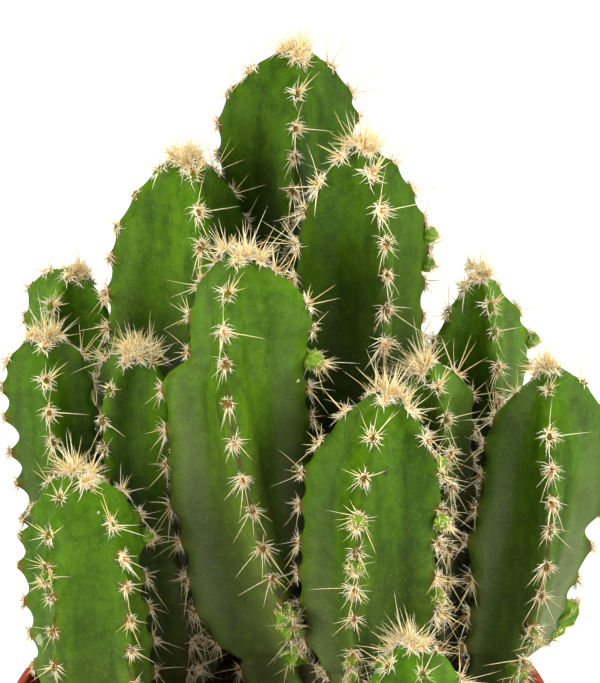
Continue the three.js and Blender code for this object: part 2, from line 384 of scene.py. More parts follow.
def growing(name, tree, measures, start=None):
    """A piece made by a tree of nodes with these measures, out of a starting mesh if given one."""
    mesh = start or bpy.data.meshes.new(name)
    piece = new_object(name, mesh)
    growth = piece.modifiers.new("growth", "NODES")
    growth.node_group = tree
    for item in tree.interface.items_tree:
        if item.in_out == "INPUT" and item.name in measures:
            growth[item.identifier] = measures[item.name]
    grown = bpy.data.meshes.new_from_object(
        piece.evaluated_get(bpy.context.evaluated_depsgraph_get()))
    piece.modifiers.clear()
    piece.data = grown
    grown.name = name
    bpy.data.meshes.remove(mesh)
    return piece


def position(tree):
    return Reckoned(put(tree, "GeometryNodeInputPosition"))


def drawn(tree, low, high, seed, sort="FLOAT", **fills):
    """A random value between two, drawn anew for each point from a fixed seed."""
    node = put(tree, "FunctionNodeRandomValue", {
        "Min": low, "Max": high, "Seed": seed, **fills}, data_type=sort)
    return Reckoned(next(socket for socket in node.outputs if socket.enabled))


def below(value, limit):
    return put(value.tree, "FunctionNodeCompare", {0: value, 1: limit}, operation="LESS_THAN")


def moved(tree, shape, offset):
    return put(tree, "GeometryNodeSetPosition", {"Geometry": shape, "Offset": offset})


def ruffled(tree, shape, scale, depth):
    """A shape with its points pushed about at random."""
    push = Reckoned(put(tree, "ShaderNodeTexNoise", {"Scale": scale, "Detail": 2.0}), "Color")
    push = put(tree, "ShaderNodeVectorMath", {0: push, 1: (0.5, 0.5, 0.5)}, operation="SUBTRACT")
    return moved(tree, shape, Reckoned(push) * depth)


def real(tree, shape):
    return put(tree, "GeometryNodeRealizeInstances", {0: shape})


def without_foot(tree, shape, height):
    """A shape without what lies lower than this, in millimetres."""
    return put(tree, "GeometryNodeDeleteGeometry", {
        "Geometry": shape, "Selection": below(position(tree).part("Z"), height * MM)})


def finish_tree(tree, take, give, shape, smooth=True):
    """Ends a tree that makes a piece, with its instances made real and in its material."""
    if smooth:
        shape = put(tree, "GeometryNodeSetShadeSmooth", {0: shape})
    fill(give, {0: put(tree, "GeometryNodeSetMaterial", {
        "Geometry": real(tree, shape), "Material": take["Material"]})})
    return tree


# Unevenness of the mound's own surface, then crumbs strewn over it
tree, take, give = start_tree(
    "Loose surface", {"Soil": "Geometry", "Heap": "Float", "Material": "Material"},
    {"Soil": "Geometry"})
spot = position(tree)
rise = (noise(spot, 0.011, 4, 0.6) - 0.5) * take["Heap"] * ramp(spot.part("Z"), 0.090, 0.097)
loose_surface = finish_tree(
    tree, take, give, moved(tree, take["Soil"], vector(tree, z=rise)), smooth=False)

tree, take, give = start_tree("Strewn crumbs", {
    "Soil": "Geometry", "Crumbs per Area": "Float", "Smallest": "Float", "Largest": "Float",
    "Seed": "Int", "Material": "Material"}, {"Crumbs": "Geometry"})
strewn = put(tree, "GeometryNodeDistributePointsOnFaces", {
    "Mesh": without_foot(tree, take["Soil"], CRUMBS_ABOVE),
    "Density": take["Crumbs per Area"], "Seed": take["Seed"]})
size = drawn(tree, 0.0, 1.0, 3) ** 3 * (take["Largest"] - take["Smallest"]) + take["Smallest"]
stretch = drawn(tree, (0.6, 0.6, 0.4), (1.3, 1.3, 0.9), 5, "FLOAT_VECTOR")
turning = drawn(tree, (0.0, 0.0, 0.0), (6.2, 6.2, 6.2), 7, "FLOAT_VECTOR")
crumb = put(tree, "GeometryNodeMeshIcoSphere", {"Radius": 1.0, "Subdivisions": 1})
crumbs = put(tree, "GeometryNodeInstanceOnPoints", {
    "Points": strewn, "Instance": crumb, "Rotation": turning, "Scale": stretch * size})
strewn_crumbs = finish_tree(
    tree, take, give, ruffled(tree, real(tree, crumbs), 700.0, 1.4 * MM), smooth=False)

soil = growing("soil_bed", loose_surface, {"Heap": 5 * MM, "Material": peat},
               as_mesh("soil_start", turned(mound)))
soil.data.shade_smooth()
finish_piece(soil, "potting_mix", "soil")
for name, per_area, smallest, largest, seed, material in (
        ("soil_crumbs", 300000.0, 0.35, 2.2, 4, peat), ("soil_grit", 9000.0, 0.5, 1.8, 9, grit)):
    finish_piece(growing(name, strewn_crumbs, {
        "Crumbs per Area": per_area, "Smallest": smallest * MM, "Largest": largest * MM,
        "Seed": seed, "Material": material}, soil.data.copy()), "potting_mix")

# The stems: fleshy columns with four or five ribs, each grown from its foot in the soil along a
# gentle bend to a rounded, woolly tip. The ribs' edges stand out at the areoles and are bitten in
# between them.
RIM = POT_HEIGHT
PLANTING_DEPTH = 12

# Each stem's foot, [x, y] at the soil, its middle and tip, [x, y, z above the rim], its radius, and
# its habit: tuft is the size and the spread of the tip's wool, bloom how grey the old skin is, a
# grey bloom that is also a painted sheen on the faces turned away from the front, and tone how
# light its green is, partly painted light and shade
STEMS = {
    "stem_back_tall": ((2, 36), (0.5, 42, 68), (3.5, 40, 140), 15, dict(
        turn=4, swell=34, dome=1.25, first=0.64, bloom=0.12, tone=0.68)),
    "stem_left_upper": ((-20, 24), (-23, 28, 60), (-20, 26, 121.5), 16, dict(
        turn=19, swell=34, dome=1.75, first=0.12, waves=2.0, tuft=(1.1, 0.8), bloom=0.45)),
    "stem_right_upper": ((16, 13), (17.3, 16, 60), (17.2, 15, 128), 15, dict(
        turn=20, swell=34, dome=1.75, first=0.34, size=1.15, bloom=0.08, tone=0.71)),
    "stem_centre": ((6, -3), (-7.8, -9, 60), (-7.4, -6, 112), 16, dict(
        turn=46, twist=-66, neck=24, swell=28, dome=0.95, shoulder=(83, 0.62), first=0.8,
        tuft=(1.15, 1.4), tone=0.97)),
    "stem_front": ((19, -13), (20, -21, 52), (23, -18, 85), 16, dict(
        ribs=5, turn=-14, neck=24, swell=26, first=0.9, scallop=1.1, bloom=0.4, tone=0.8)),
    "stem_right": ((38, -5), (55.5, -3, 46), (57, -2, 84), 13.5, dict(
        turn=40, twist=-50, neck=22, swell=40, dome=1.9, first=0.42, scallop=1.1, waves=9.0,
        tuft=(1.0, 0.6), bloom=1.1, tone=0.88)),
    "stem_right_back": ((39, 22), (43, 28, 48), (43.5, 25, 93.7), 12, dict(
        turn=20, swell=30, dome=2.3, tuft=(0.85, 1.6), tone=1.1)),
    "stem_right_inner": ((29, 3), (33.5, 0, 45), (31, 0, 83.5), 9, dict(
        turn=20, swell=20, first=0.3)),
    "stem_left_inner": ((-23, 2), (-30.3, 3, 45), (-30, -1, 87.5), 10.8, dict(
        turn=-38, swell=28, first=0.89, tuft=(0.9, 1.15), tone=0.84)),
    "stem_left_outer": ((-38, 3), (-47.5, 3, 50), (-51, 5, 89), 9.8, dict(
        turn=4, neck=36, swell=30, first=0.99, scallop=1.8, tuft=(0.9, 0.85), tone=0.9)),
    "stem_left_back": ((-34, 30), (-46, 38, 45), (-45.5, 38, 88.5), 10.6, dict(
        turn=-25, swell=26, dome=1.1, waves=1.5, tuft=(0.8, 1.0))),
    "stem_left_front": ((-37, -18), (-41, -20, 32), (-43.3, -20, 67.5), 14, dict(
        ribs=5, turn=-31, neck=6, swell=26, first=0.3, scallop=1.5, size=0.85, bloom=0.06,
        tone=0.96)),
    "stem_low_front": ((24, -36), (27.5, -41, 16), (27, -42, 38), 10.8, dict(
        ribs=5, turn=20, neck=5, swell=18, bloom=0.2)),
    "stem_low_left": ((-12, -35), (-14, -39, 3), (-14, -41, 17), 10, dict(
        ribs=5, turn=0, neck=4, swell=14, tuft=(0.9, 1.0))),
    "stem_low_right": ((40, -23), (44, -26, 3), (46, -28, 13), 7.5, dict(
        turn=0, neck=6, swell=14, tuft=(0.8, 0.8))),
    "stem_hidden_back_right": ((19, 39), (24, 47, 34), (25, 49, 72), 10.5, dict(
        turn=10, neck=6, swell=24)),
    "stem_hidden_back_left": ((-16, 42), (-21, 54, 42), (-22, 57, 84), 10.5, dict(
        turn=0, swell=24, first=0.4)),
    "stem_hidden_far_right": ((32, 33), (45, 46, 30), (50, 50, 54), 8.5, dict(
        turn=20, neck=10, swell=20, first=0.6, tuft=(0.9, 1.0))),
}
USUAL_LOOKS = {"scallop": 0.8, "tuft": (1.08, 1.0), "bloom": 0.6, "tone": 1.0}
GROOVE = {4: 0.56, 5: 0.64}
FOOT_WIDTH = 0.55
DOME_HEIGHT = 1.45
DOME_TAPER = 2.3
DOME_ROUNDING = 0.85
NO_SHOULDER = (1000, 1.0)
SHOULDER_LENGTH = 6
PITCH = 8.5
CROWDING = 2.0
AREOLES_ABOVE = 102.5
CLIMB_SPAN = 1.2
WAVES = 4.0
ROW = 0.8
COLUMNS_PER_RIB = 18
CREST_CROWDING = 0.55
FRONT = (0.0, -1.0, 0.0)
FLESH = {"Subsurface Scale": 1.0, "Subsurface Radius": (0.0012, 0.003, 0.0006)}
STEM_MEASURES = {
    "Foot": "Vector", "Bend": "Vector", "Tip": "Vector", "Radius": "Float", "Ribs": "Int",
    "Groove": "Float", "Turn": "Float", "Twist": "Float", "Neck": "Float", "Swell": "Float",
    "Dome": "Float", "Shoulder": "Float", "Shoulder Part": "Float", "Pitch": "Float",
    "First Areole": "Float", "Areole Size": "Float", "Waves": "Float", "Seed": "Int"}


def named(tree, name, sort="FLOAT"):
    """What was stored under this name at each point."""
    return Reckoned(put(tree, "GeometryNodeInputNamedAttribute", {"Name": name}, data_type=sort))


def store(tree, shape, **values):
    """Keeps values under their names at each point, for the materials or for later nodes."""
    for name, value in values.items():
        vectors = isinstance(value, Reckoned) and value.socket.type == "VECTOR"
        shape = put(tree, "GeometryNodeStoreNamedAttribute", {
            "Geometry": shape, "Name": name, "Value": value},
            data_type="FLOAT_VECTOR" if vectors else "FLOAT")
    return shape


def without(tree, shape, *names):
    """A shape that no longer holds the values of these names."""
    for name in names:
        shape = put(tree, "GeometryNodeRemoveAttribute", {"Geometry": shape, "Name": name})
    return shape


def centre_line(tree, take):
    """The bent line through the middle of a stem, and its length."""
    line = put(tree, "GeometryNodeCurveQuadraticBezier", {
        "Resolution": 64, "Start": take["Foot"], "Middle": take["Bend"], "End": take["Tip"]})
    return line, Reckoned(put(tree, "GeometryNodeCurveLength", {0: line}))


def inner_group(take, group, left=None, from_rib=None):
    """A group inside a tree, handed the tree's measures of the stem, and a place on it if any."""
    handed = {label: take[label] for label in STEM_MEASURES}
    if left is not None:
        handed |= {"Left": left, "From Rib": from_rib}
    return put(take["Seed"].tree, "GeometryNodeGroup", handed, node_tree=group)


# Where the skin is, at a distance below the tip and at an angle from the first rib
tree, take, give = start_tree(
    "Stem surface", {**STEM_MEASURES, "Left": "Float", "From Rib": "Float"},
    {"Position": "Vector", "Outward": "Vector", "Up": "Vector", "Crest": "Float"})
line, length = centre_line(tree, take)
left, from_rib = take["Left"].by("MAXIMUM", 0.0), take["From Rib"]
run = length - left
here = put(tree, "GeometryNodeSampleCurve", {"Curves": line, "Length": run}, mode="LENGTH")
centre, up = Reckoned(here, "Position"), Reckoned(here, "Tangent").unit()
front = (up * (up.dot(FRONT) * -1.0) + FRONT).unit()
angle = from_rib + take["Turn"] + take["Twist"] * (run / length)
outward = front * angle.by("COSINE") + up.cross(front) * angle.by("SINE")
filled = ((run - take["Neck"]) / take["Swell"]).clamped()
width = (1.0 - (1.0 - filled) ** 2.0) ** 0.5 * (1 - FOOT_WIDTH) + FOOT_WIDTH
above = ramp(centre.part("Z") - take["Shoulder"], 0.0, SHOULDER_LENGTH * MM)
left_side = (1.0 - from_rib.by("SINE")) * 0.5
width = width * (1.0 - (1.0 - take["Shoulder Part"]) * above * left_side)
under_tip = (left / take["Dome"]).by("MINIMUM", 1.0)
width = width * (1.0 - (1.0 - under_tip) ** DOME_TAPER) ** DOME_ROUNDING
crest = (((take["Ribs"] * from_rib).by("COSINE") + 1.0) * 0.5) ** 2.0
reach = take["Radius"] * width * (take["Groove"] + (1.0 - take["Groove"]) * crest)
waves = (noise(centre + outward * reach, 0.017, 1) - 0.5) * crest * take["Waves"]
fill(give, {"Position": centre + outward * (reach + waves), "Outward": outward, "Up": up,
            "Crest": crest})
stem_surface = tree

# The areoles, the small woolly cushions that bear the spines: a row of points along each rib's
# edge, crowded towards the tip, each with the way it faces and the way up the rib
tree, take, give = start_tree("Areole places", STEM_MEASURES, {"Areoles": "Geometry"})
line, length = centre_line(tree, take)
ribs, pitch, seed = take["Ribs"], take["Pitch"], take["Seed"]
share = length / pitch
steps = (share + (share * share + share * (4 * CROWDING)).by("SQRT")) * 0.5
areoles = put(tree, "GeometryNodePoints", {"Count": steps.by("FLOOR") * ribs})
index = Reckoned(put(tree, "GeometryNodeInputIndex"))
rib = index.by("MODULO", ribs)
first = put(tree, "GeometryNodeSwitch", {
    0: below(rib, 0.5), 1: drawn(tree, 0.0, 1.0, seed, ID=rib), 2: take["First Areole"]},
    input_type="FLOAT")
count = (index / ribs).by("FLOOR") + Reckoned(first) + drawn(tree, -0.09, 0.09, seed)
count = count.by("MAXIMUM", 0.2)
left = pitch * count * count / (count + CROWDING)
from_rib = rib * (2 * math.pi) / ribs


def surface_at(label, distance):
    return Reckoned(inner_group(take, stem_surface, distance, from_rib), label)


ahead, behind = (surface_at("Position", left + reach * MM) for reach in (-CLIMB_SPAN, CLIMB_SPAN))
climb = (ahead - behind).unit()
side = surface_at("Up", left).cross(surface_at("Outward", left))
areoles = store(tree, areoles, facing=side.cross(climb).unit(), climb=climb, left=left,
                size=drawn(tree, 0.75, 1.2, seed) * take["Areole Size"])
areoles = put(tree, "GeometryNodeSetPosition", {
    "Geometry": areoles, "Position": surface_at("Position", left)})
fill(give, {0: without_foot(tree, areoles, AREOLES_ABOVE)})
areole_places = tree

# The skin: a cone of close rows and columns, laid on the stem's surface, with its ribs' edges
# bitten in between the areoles, a swelling under each one, and shallow dents in its faces
tree, take, give = start_tree("Stem skin", {
    **STEM_MEASURES, "Rows": "Int", "Scallop": "Float", "Swelling": "Float", "Dents": "Float",
    "Bloom And Sheen": "Float", "Shade And Tone": "Float", "Material": "Material"}, {"Skin": "Geometry"})
sheath = put(tree, "GeometryNodeMeshCone", {
    "Vertices": take["Ribs"] * COLUMNS_PER_RIB, "Side Segments": take["Rows"],
    "Fill Segments": 1, "Radius Top": 0.0, "Radius Bottom": 1.0, "Depth": 1.0})
spot = position(tree)
round_it = spot.part("Y").by("ARCTAN2", spot.part("X"))
from_rib = round_it - (take["Ribs"] * round_it).by("SINE") * CREST_CROWDING / take["Ribs"]
left = (1.0 - spot.part("Z")) * centre_line(tree, take)[1]
laid = inner_group(take, stem_surface, left, from_rib)
outward = Reckoned(laid, "Outward")
# The grey bloom grows on faces turned away from the front: the skin's own bloom and a painted sheen
# as well
skin = store(tree, sheath, crest=Reckoned(laid, "Crest"), left=left,
             bloom=ramp(outward.dot(FRONT), 0.74, 0.34) * take["Bloom And Sheen"], tone=take["Shade And Tone"],
             outward=outward, seat=Reckoned(laid, "Position"))
skin = put(tree, "GeometryNodeSetPosition", {
    "Geometry": skin, "Position": named(tree, "seat", "FLOAT_VECTOR")})
near_areole = put(tree, "GeometryNodeProximity", {0: inner_group(take, areole_places)},
                  target_element="POINTS")
skin = store(tree, skin, away=Reckoned(near_areole, "Distance"))
away, spot = named(tree, "away"), position(tree)
bitten = ((away - 0.5 * MM) / (take["Pitch"] * 0.5)).clamped()
bitten = 1.0 - (1.0 - bitten) ** 2.0
open_to_bites = named(tree, "crest") ** 1.3 * ramp(
    named(tree, "left"), 2 * MM, 14 * MM, 0.15, 1.0)
swollen = ramp(away / take["Pitch"], 0.3, 0.0) * take["Swelling"]
dented = ((noise(spot, 0.014, 2) - 0.5) * take["Dents"]
          + (noise(spot, 0.0045, 2) - 0.5) * take["Dents"] * 0.28)
bite = take["Scallop"] * (noise(spot, 0.013, 1) * 1.6 + 0.2)
skin = moved(tree, skin, named(tree, "outward", "FLOAT_VECTOR") * (
    swollen + dented - bite * bitten * open_to_bites))
stem_skin = finish_tree(tree, take, give, without(tree, skin, "seat", "outward"))

# What the skins of stems and pups have in common: clouds and smaller patches of tone, streaks along
# the stem, a fine grain of cells and wrinkles, and dense pale specks, the pores of the skin
tree, take, give = start_tree(
    "Mottling", {"Place": "Vector", "Cloud Size": "Float"},
    {"Clouds": "Float", "Patches": "Float", "Streaks": "Float", "Grain": "Float",
     "Specks": "Float"}, "ShaderNodeTree")
place = take["Place"]
cells = put(tree, "ShaderNodeTexVoronoi", {"Vector": place, "Scale": 1350.0})
chosen = ramp(Reckoned(put(tree, "ShaderNodeSeparateColor", {0: Reckoned(cells, "Color")})),
              0.55, 0.75)
specks = ramp(Reckoned(cells, "Distance"), 0.32, 0.12) * chosen
fill(give, {
    "Clouds": put(tree, "ShaderNodeTexNoise", {
        "Vector": place, "Scale": take["Cloud Size"] ** -1.0, "Detail": 4.0, "Roughness": 0.55}),
    "Patches": noise(place, 0.0026, 4, 0.62),
    "Streaks": noise(place.by("MULTIPLY", (1.0, 1.0, 0.16)), 0.0042, 3, 0.55),
    "Grain": noise(place, 0.0005, 3, 0.65),
    "Specks": specks * ramp(noise(place, 0.009, 2), 0.38, 0.6, 0.25, 1.0)})
mottling = tree

# A scar: a ragged patch about a point on the skin, longer than it is wide where Stretch is above 1
tree, take, give = start_tree(
    "Scar", {"Place": "Vector", "Centre": "Vector", "Size": "Float", "Stretch": "Float"},
    {"Scar": "Float"}, "ShaderNodeTree")
gap = take["Place"] - take["Centre"]
lift = vector(tree, z=gap.part("Z") * (take["Stretch"] ** -1.0 - 1.0))
ragged = (gap + lift).length() / take["Size"] + (
    noise(take["Place"], 0.0008, 3, 0.65) - 0.5) * 1.9
fill(give, {0: ramp(ragged, 1.0, 0.7)})
scar_shape = tree


def attribute(tree, name):
    """What the mesh holds under this name, at each point of its surface."""
    return Reckoned(put(tree, "ShaderNodeAttribute", attribute_name=name), "Fac")


# Each scar's point in millimetres, its size, its stretch, its colour and how much of it shows
SCARS = [
    ((-4.8, -10.8, 214.8), 1.4, 0.8, (112, 66, 34), 0.85),
    ((22.4, -30.9, 176.7), 0.8, 1.2, (60, 44, 24), 0.8),
    ((3.9, -12.0, 189.1), 0.4, 1.0, (214, 220, 190), 0.7),
    ((-51.9, -19.4, 131.2), 1.3, 1.3, (188, 196, 160), 0.5),
    ((-38.4, -26.7, 165.4), 0.6, 1.2, (204, 212, 180), 0.6),
    ((-37.2, -26.6, 163.9), 0.4, 1.0, (204, 212, 180), 0.6),
]

# The skin's colour: a young and an old green under mottling; painted shade in the grooves; a grey
# bloom in the hollows of the old part, which is also a painted sheen on the faces turned away from
# the front; brown, corky rib edges and stains at the areoles; painted shade deep inside the clump;
# and each stem's tone, partly painted light and shade
green_skin, tree, shader, place = start_material("green skin")
marks = put(tree, "ShaderNodeGroup", {"Place": place, "Cloud Size": 0.011}, node_tree=mottling)
clouds, patches, streaks, grain, specks = (
    Reckoned(marks, label) for label in ("Clouds", "Patches", "Streaks", "Grain", "Specks"))
crest, left, away = attribute(tree, "crest"), attribute(tree, "left"), attribute(tree, "away")
mist = ramp(noise(place, 0.018, 4), 0.36, 0.62)
aged = ramp(left, 0.008, 0.08, 0.2, 1.0)
# A grey bloom in the hollows of the old skin, partly a painted sheen where the faces turn away from
# the front
bloom = ramp(crest, 0.97, 0.6) * aged * (mist * 0.3 + 0.65) * attribute(tree, "bloom")
between = ramp(away, 1.2 * MM, 2.2 * MM)
corky = ramp(crest, 0.982, 0.997) * between * ramp(noise(place, 0.005, 3), 0.4, 0.56)
stain = ramp(away + (patches - 0.5) * 0.002, 2.1 * MM, 1.0 * MM)
inmost = ramp((place - (0.010, 0.020, 0.0)).from_axis(), 0.045, 0.036)
shady = inmost * ramp(place.part("Z"), 0.188, 0.155) * ramp(place.part("Y"), -0.014, -0.007)
skin_colour = layered(
    (76, 118, 2),
    (ramp(left + (clouds - 0.5) * 0.04, 0.010, 0.085), (86, 108, 16)),
    (ramp(clouds, 0.36, 0.64) * 0.5, (54, 86, 0)),
    (ramp(streaks, 0.48, 0.7) * 0.6, (38, 60, 2)),
    (ramp(streaks, 0.46, 0.28) * 0.5, (92, 128, 4)),
    # Painted shade: a darker green in the grooves between the ribs, from a little below the tip
    # down
    (ramp(crest, 0.8, 0.2) * ramp(left, 0.01, 0.05) * 0.5, (42, 70, 4)),
    (ramp(patches, 0.42, 0.7) * 0.4, (36, 60, 1)),
    (ramp(patches, 0.5, 0.25) * 0.4, (84, 118, 8)),
    (ramp(left, 0.02, 0.09) * 0.16, (146, 134, 108)),
    (bloom * ramp(grain, 0.2, 0.65, 0.6, 1.0), (132, 140, 100)),
    (ramp(grain, 0.5, 0.75) * 0.25, (104, 128, 40)),
    (ramp(grain, 0.45, 0.25) * 0.35, (30, 50, 2)),
    (specks * 0.34, (150, 168, 104)),
    (corky * ramp(left, 0.006, 0.03) * 0.7, (74, 48, 18)),
    (stain * ramp(left, 0.004, 0.02) * 0.7, (118, 78, 26)),
    (shady * 0.7, (58, 48, 30)))
# Each stem's tone, set per stem partly as painted light and shade: darker for stems that lie in
# shade, lighter for those that catch the light
skin_colour = Reckoned(put(tree, "ShaderNodeHueSaturation", {
    "Value": attribute(tree, "tone"), "Color": skin_colour}))
for spot, size, stretch, tone, strength in SCARS:
    scar = Reckoned(put(tree, "ShaderNodeGroup", {
        "Place": place, "Centre": Vector(spot) * MM, "Size": size * MM,
        "Stretch": stretch}, node_tree=scar_shape))
    skin_colour = layered(skin_colour, (scar * strength, tone))
fill(shader, {
    "Base Color": skin_colour, "Roughness": patches * 0.14 + 0.33 + bloom * 0.12 + grain * 0.1,
    "Normal": raised((0.45, 0.00012, grain + specks), (0.5, 0.0006, patches)),
    "Specular IOR Level": 0.4, "Subsurface Weight": 0.06, **FLESH})


def measures_of(foot, middle, tip, radius, turn, swell, ribs=4, neck=8, twist=0,
                shoulder=NO_SHOULDER, dome=DOME_HEIGHT, first=0.5, pitch=PITCH, size=1.0,
                waves=WAVES, seed=0, rim=RIM, planted=PLANTING_DEPTH):
    """A stem's measures, from the millimetres that it is written down in to the trees' metres."""
    start = Vector((*foot, soil_height(*foot) - planted)) if len(foot) == 2 else Vector(foot)
    end = Vector((tip[0], tip[1], tip[2] + rim))
    through = Vector((middle[0], middle[1], middle[2] + rim))
    return {
        "Foot": start * MM, "Bend": (through * 2 - (start + end) / 2) * MM, "Tip": end * MM,
        "Radius": radius * MM, "Ribs": ribs, "Groove": GROOVE[ribs],
        "Turn": math.radians(turn), "Twist": math.radians(twist), "Neck": (neck + planted) * MM,
        "Swell": swell * MM, "Dome": dome * radius * MM, "Shoulder": (shoulder[0] + rim) * MM,
        "Shoulder Part": shoulder[1], "Pitch": pitch * MM, "First Areole": first,
        "Areole Size": size, "Waves": waves * MM, "Seed": seed,
        "Rows": round((end - start).length / ROW)}


# The wool and the spines: each areole is a felted cushion of short blunt bristles, cream with an
# orange-brown heart, in a ruff of white curling hairs that wears away with age, with a few thin
# straw-coloured spines that lean out and down. The youngest areoles crowd on the tip in one tuft.
TUFT_REACH = 3.3
HAIR = dict(thick=0.12, steps=3, sides=3)
FELT = dict(thick=0.13, steps=3, sides=3)
SPINE = dict(thick=0.125, steps=4, sides=4)

tree, take, give = start_tree("Bristles", {
    "Roots": "Geometry", "Thickness": "Float", "Steps": "Int", "Sides": "Int"},
    {"Bristles": "Geometry"})
straight = put(tree, "GeometryNodeResampleCurve", {
    "Curve": put(tree, "GeometryNodeCurvePrimitiveLine", {"End": (0.0, 0.0, 1.0)}),
    "Count": take["Steps"]})
aimed = put(tree, "FunctionNodeAlignRotationToVector", {
    "Vector": named(tree, "heading", "FLOAT_VECTOR")})
hairs = put(tree, "GeometryNodeInstanceOnPoints", {
    "Points": take["Roots"], "Instance": straight, "Rotation": aimed,
    "Scale": named(tree, "long")})
out = Reckoned(put(tree, "GeometryNodeSplineParameter"), "Factor")
hairs = moved(tree, real(tree, hairs), named(tree, "bend", "FLOAT_VECTOR") * (out * out))
hairs = store(tree, hairs, out=out)
hairs = put(tree, "GeometryNodeCurveToMesh", {
    "Curve": hairs, "Profile Curve": put(tree, "GeometryNodeCurvePrimitiveCircle", {
        "Resolution": take["Sides"], "Radius": 1.0}),
    "Scale": take["Thickness"] * named(tree, "stout") * (1.0 - out ** 1.6 * 0.9),
    "Fill Caps": True})
fill(give, {0: without(tree, hairs, "heading", "long", "bend", "stout", "facing", "climb",
                       "left", "size")})
bristles = tree


def spread_roots(points, number, tilt, spread, sag, lengths, curl, tint, seed, upright=1.0,
                 fewer_long=1.4):
    """Roots on each point, each with a heading tilted off the way it faces, a length and a curl."""
    tree = tilt.tree
    roots = put(tree, "GeometryNodeDuplicateElements", {"Geometry": points, "Amount": number},
                domain="POINT")
    facing = named(tree, "facing", "FLOAT_VECTOR")
    climb = named(tree, "climb", "FLOAT_VECTOR")
    size = named(tree, "size")
    turning = drawn(tree, 0.0, 2 * math.pi, seed)
    across = climb.cross(facing) * turning.by("COSINE") + climb * (turning.by("SINE") * upright)
    heading = facing * tilt.by("COSINE") + across * tilt.by("SINE") + vector(tree, z=sag)
    long = drawn(tree, 0.0, 1.0, seed + 1) ** fewer_long * (lengths[1] - lengths[0]) + lengths[0]
    bend = drawn(tree, (-1.0, -1.0, -1.0), (1.0, 1.0, 0.6), seed + 2, "FLOAT_VECTOR")
    roots = store(tree, roots, heading=heading.unit(), long=long * size * MM)
    roots = store(tree, roots, bend=bend * (named(tree, "long") * curl),
                  stout=drawn(tree, 0.6, 1.0, seed + 3) * (size * 0.5 + 0.5),
                  tint=tint + drawn(tree, -0.15, 0.15, seed + 4))
    return moved(tree, roots, across * (tilt.by("SINE") * (spread * MM) * size))


def tip_areoles(take, number, inmost):
    """The youngest areoles, crowded on the growing tip, each facing a little outwards."""
    tree = number.tree
    end = put(tree, "GeometryNodeSampleCurve", {"Curves": centre_line(tree, take)[0],
                                                "Factor": 1.0}, mode="FACTOR")
    points = put(tree, "GeometryNodePoints", {
        "Count": number, "Position": Reckoned(end, "Position")})
    up = Reckoned(end, "Tangent").unit()
    side = up.cross((1.0, 0.0, 0.0)).unit()
    turning = drawn(tree, 0.0, 2 * math.pi, take["Seed"])
    across = side * turning.by("COSINE") + up.cross(side) * turning.by("SINE")
    off = drawn(tree, 0.0, 1.0, take["Seed"] + 1) ** 0.6
    facing = (up + across * off).unit()
    size = drawn(tree, 0.75, 1.05, take["Seed"] + 2) * ramp(off, 0.25, 0.75, inmost, 1.0)
    points = store(tree, points, facing=facing, left=0.0, size=take["Tuft"] * size,
                   climb=side.cross(facing).cross(facing).unit())
    reach = take["Tuft"] * take["Tuft Spread"] * (TUFT_REACH * MM) * off
    return moved(tree, points,
                 across * reach - up * (off * off * 1.6 * MM + take["Tuft"] * (0.4 * MM)))


def joined(tree, *shapes):
    both = put(tree, "GeometryNodeJoinGeometry")
    for shape in shapes:
        fill(both, {0: shape})
    return both


def as_bristles(roots, thick, steps, sides):
    return put(roots.id_data, "GeometryNodeGroup", {
        "Roots": roots, "Thickness": thick * MM, "Steps": steps, "Sides": sides},
        node_tree=bristles)


tree, take, give = start_tree("Areole wool", {
    **STEM_MEASURES, "Cushion": "Float", "Ruff Hairs": "Int", "Heart Hairs": "Int",
    "Tuft": "Float", "Tuft Spread": "Float", "Tip Areoles": "Int",
    "Material": "Material"}, {"Wool": "Geometry"})
points = joined(tree, inner_group(take, areole_places),
                tip_areoles(take, take["Tip Areoles"], 0.55))
pad = put(tree, "GeometryNodeMeshIcoSphere", {"Radius": 1.0, "Subdivisions": 2})
pad = store(tree, pad, tint=ramp(position(tree).from_axis(), 0.75, 0.2, 0.35, 0.8))
broad = named(tree, "size") * take["Cushion"]
pads = put(tree, "GeometryNodeInstanceOnPoints", {
    "Points": points, "Instance": pad, "Scale": vector(tree, broad, broad * 1.3, broad * 0.34),
    "Rotation": put(tree, "FunctionNodeAxesToRotation", {
        "Primary Axis": named(tree, "facing", "FLOAT_VECTOR"),
        "Secondary Axis": named(tree, "climb", "FLOAT_VECTOR")},
        primary_axis="Z", secondary_axis="Y")})
pads = ruffled(tree, real(tree, pads), 1800.0, 0.9 * MM)
pads = without(tree, pads, "facing", "climb", "left", "size")
left = named(tree, "left")
ruff = spread_roots(points, take["Ruff Hairs"] * ramp(left, 0.035, 0.1, 1.0, 0.42),
                    drawn(tree, 0.5, 1.5, 41), 1.0, -0.3, (0.8, 1.9), 0.9,
                    drawn(tree, 0.0, 0.45, 40), 42, 1.3)
slant = drawn(tree, 0.1, 1.1, 45)
heart = spread_roots(points, take["Heart Hairs"], slant, 0.75, 0.0, (0.8, 1.7), 0.35,
                     ramp(slant, 0.2, 0.95, 1.0, 0.25) * ramp(left, 0.0, 4 * MM, 0.75, 1.0),
                     46, 1.3)
wool = joined(tree, pads, as_bristles(ruff, **HAIR), as_bristles(heart, **FELT))
areole_wool = finish_tree(tree, take, give, wool)

